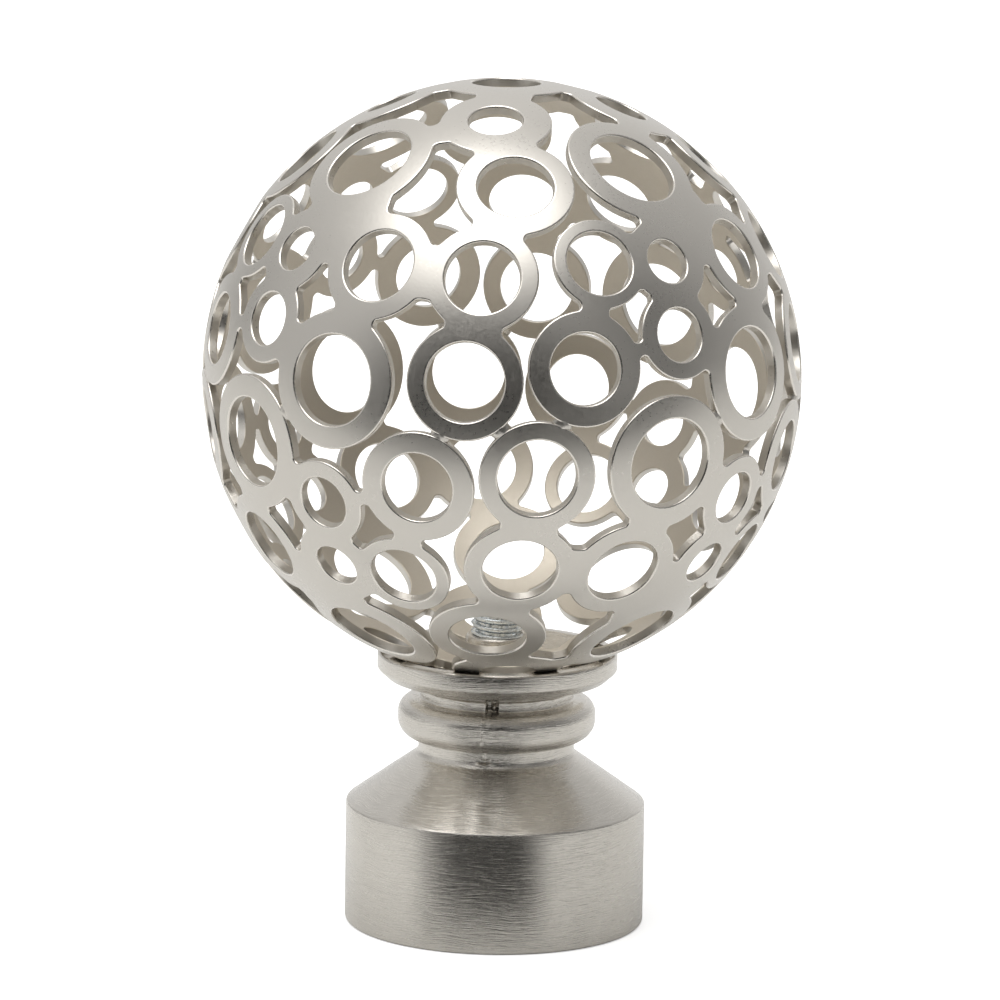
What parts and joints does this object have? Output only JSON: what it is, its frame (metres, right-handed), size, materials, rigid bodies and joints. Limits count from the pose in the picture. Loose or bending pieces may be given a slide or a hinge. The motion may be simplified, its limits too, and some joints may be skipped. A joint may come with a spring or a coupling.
{
  "type": "curtain pole finial",
  "caption": "Curtain pole finial: a hollow ball of pierced sheet metal on a turned base with a bead and a cup that slides over the end of the pole.",
  "frame": {"origin": "middle of the cup's open end, on the axis of the pole", "axes": "+Z along the pole's axis from the cup to the ball, -Y to the front of the picture"},
  "size_m": [0.0708, 0.0708, 0.0999],
  "materials": {
    "satin_nickel_sheet": "satin nickel plate on pressed steel",
    "weld_metal": "plated weld spots",
    "satin_nickel_casting": "brushed nickel plate on a zinc casting",
    "zinc_plated_steel": "bright zinc plate"
  },
  "bodies": {
    "root": {"upper_half_shell": "satin_nickel_sheet", "lower_half_shell": "satin_nickel_sheet", "seam_welds": "weld_metal", "base_casting": "satin_nickel_casting", "stud": "zinc_plated_steel"}
  },
  "joints": []
}
